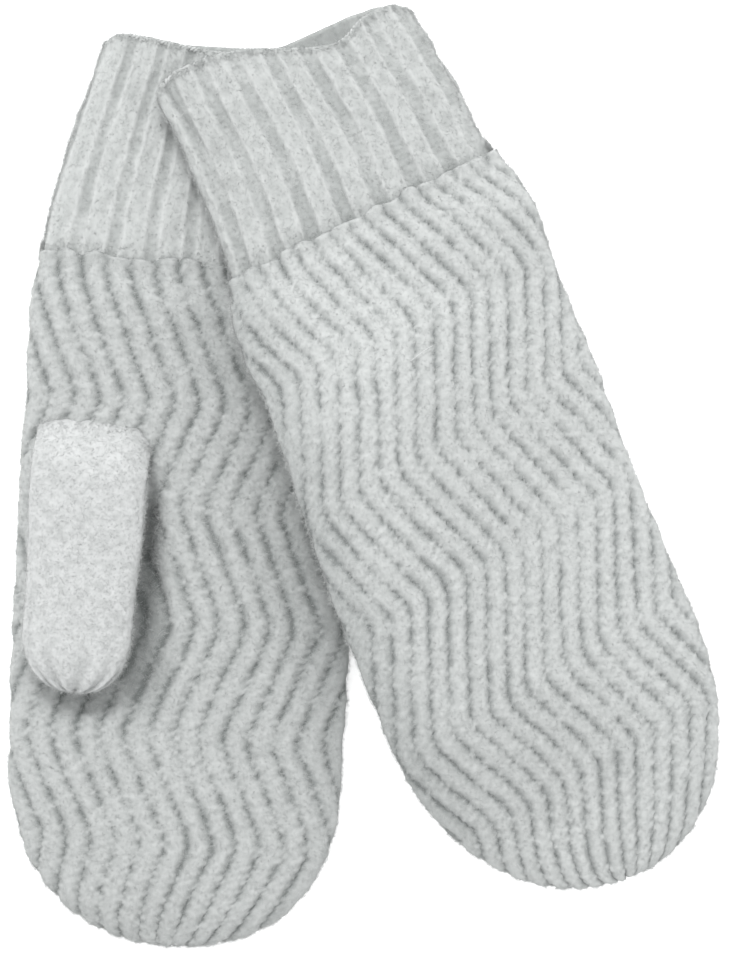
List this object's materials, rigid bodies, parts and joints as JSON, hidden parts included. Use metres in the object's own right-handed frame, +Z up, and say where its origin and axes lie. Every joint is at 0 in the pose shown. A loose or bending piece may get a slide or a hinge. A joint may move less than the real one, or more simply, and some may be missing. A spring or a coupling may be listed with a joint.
{
  "type": "knitted mittens",
  "caption": "Pair of pale grey fuzzy wool mittens with ribbed cuffs, zigzag-rib hands and plain jersey thumbs, laid flat with the left one across the right.",
  "frame": {"origin": "on the table, under the middle of the pair's bounding box", "axes": "+Z up from the table, +Y towards the cuffs, +X from the right mitten towards the left one"},
  "size_m": [0.2142, 0.2843, 0.0396],
  "materials": {
    "ribbed_wool": "brushed wool, wide rib",
    "zigzag_wool": "brushed wool, zigzag rib",
    "jersey_wool": "brushed wool, plain jersey",
    "seam_yarn": "twisted wool yarn"
  },
  "bodies": {
    "right_mitten": {"right_cuff": "ribbed_wool", "right_cuff_edge": "seam_yarn", "right_cuff_seam": "seam_yarn", "right_back_panel": "zigzag_wool", "right_palm_panel": "zigzag_wool", "right_side_seam": "seam_yarn", "right_thumb_seam": "seam_yarn"},
    "right_thumb_tube": {"right_thumb": "jersey_wool", "right_thumb_gather": "seam_yarn"},
    "left_mitten": {"left_cuff": "ribbed_wool", "left_cuff_edge": "seam_yarn", "left_cuff_seam": "seam_yarn", "left_back_panel": "zigzag_wool", "left_palm_panel": "zigzag_wool", "left_side_seam": "seam_yarn", "left_thumb_seam": "seam_yarn"},
    "left_thumb_tube": {"left_thumb": "jersey_wool", "left_thumb_gather": "seam_yarn"}
  },
  "joints": [
    {"name": "left_mitten_lift", "type": "slide", "parent": "right_mitten", "child": "left_mitten", "axis": [0, 0, 1], "range_m": [0, 0.12]},
    {"name": "right_thumb_fold", "type": "hinge", "parent": "right_mitten", "child": "right_thumb_tube", "pos_m": [-0.08092, 0.01535, 0.0153], "axis": [-0.9978, 0.0663, 0], "range_deg": [0, 90]},
    {"name": "left_thumb_fold", "type": "hinge", "parent": "left_mitten", "child": "left_thumb_tube", "pos_m": [-0.00308, 0.00683, 0.0244], "axis": [0.9245, 0.3811, 0], "range_deg": [0, 40]}
  ],
  "couplings": [
    {"joint": "left_thumb_fold", "follows": "left_mitten_lift", "rad_per_m": 5.8178}
  ]
}
